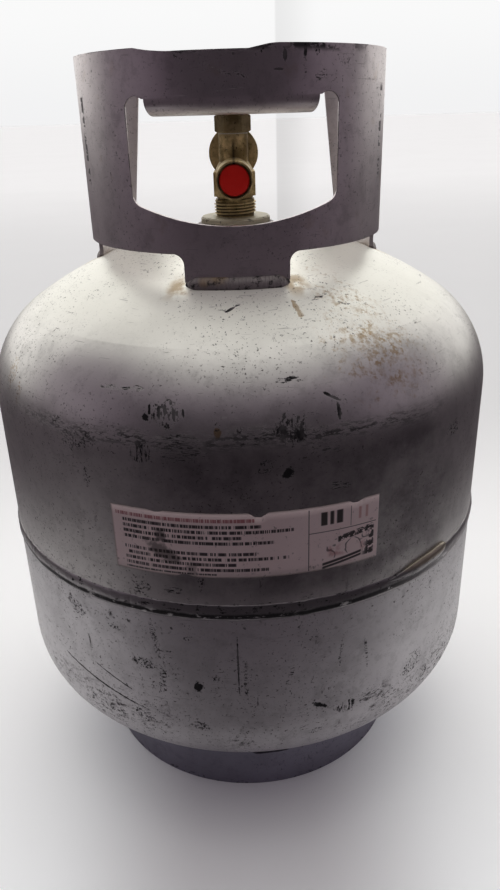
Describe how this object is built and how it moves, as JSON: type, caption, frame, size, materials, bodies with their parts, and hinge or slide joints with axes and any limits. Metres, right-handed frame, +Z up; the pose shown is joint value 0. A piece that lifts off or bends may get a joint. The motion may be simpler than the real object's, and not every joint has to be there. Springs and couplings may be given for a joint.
{
  "type": "refillable gas cylinder",
  "caption": "Portable refillable steel gas cylinder with a welded girth seam, guard collar with rolled carrying grip, foot ring, brass hand valve, rear outlet and capped relief valve.",
  "frame": {"origin": "on the ground at the centre of the foot ring", "axes": "+Z up along the cylinder's axis, -Y towards the collar's hand window and the relief valve, +Y towards the gas outlet and the collar's open back"},
  "size_m": [0.3226, 0.3226, 0.462],
  "materials": {
    "shell_paint": "worn gloss paint",
    "collar_paint": "worn satin paint",
    "foot_paint": "satin paint",
    "weld_paint": "painted over weld",
    "bung_paint": "painted steel",
    "label_film": "scuffed printed film",
    "valve_brass": "tarnished",
    "seal_plastic": "plain",
    "seal_rubber": "plain",
    "handwheel_plastic": "moulded",
    "plated_steel": "zinc plated",
    "cap_red": "moulded"
  },
  "bodies": {
    "cylinder": {"upper_shell": "shell_paint", "lower_shell": "shell_paint", "collar": "collar_paint", "foot_ring": "foot_paint", "seam_weld": "weld_paint", "bung_weld": "weld_paint", "collar_weld_front": "weld_paint", "collar_weld_left": "weld_paint", "collar_weld_right": "weld_paint", "foot_ring_weld_1": "weld_paint", "foot_ring_weld_2": "weld_paint", "foot_ring_weld_3": "weld_paint", "valve_bung": "bung_paint", "info_label": "label_film", "valve_body": "valve_brass", "bonnet_nut": "valve_brass", "relief_adjuster": "valve_brass", "bonnet_gasket": "seal_plastic", "relief_spring": "plated_steel"},
    "spindle": {"upper_spindle": "valve_brass", "spindle_thrust_washer": "seal_plastic", "spindle_o_ring_lower": "seal_rubber", "spindle_o_ring_upper": "seal_rubber", "handwheel": "handwheel_plastic", "handwheel_washer": "plated_steel", "handwheel_screw": "plated_steel"},
    "seat_carrier": {"lower_spindle": "valve_brass", "seat_disc": "seal_rubber"},
    "relief_piston": {"relief_poppet": "valve_brass", "relief_seal": "seal_rubber"},
    "dust_cap": {"relief_dust_cap": "cap_red"}
  },
  "joints": [
    {"name": "handwheel_turn", "type": "hinge", "parent": "cylinder", "child": "spindle", "pos_m": [0, 0, 0.44], "axis": [0, 0, 1], "range_deg": [0, 540]},
    {"name": "seat_lift", "type": "slide", "parent": "spindle", "child": "seat_carrier", "axis": [0, 0, 1], "range_m": [0, 0.00225]},
    {"name": "relief_lift", "type": "slide", "parent": "cylinder", "child": "relief_piston", "axis": [0, -1, 0], "range_m": [0, 0.0024], "stiffness_N_per_m": 600, "springref_m": -0.0005, "deforming": ["relief_spring"]},
    {"name": "dust_cap_pull", "type": "slide", "parent": "cylinder", "child": "dust_cap", "axis": [0, -1, 0], "range_m": [0, 0.07]}
  ],
  "couplings": [
    {"joint": "handwheel_turn", "follows": "seat_lift", "rad_per_m": 4188.8}
  ]
}
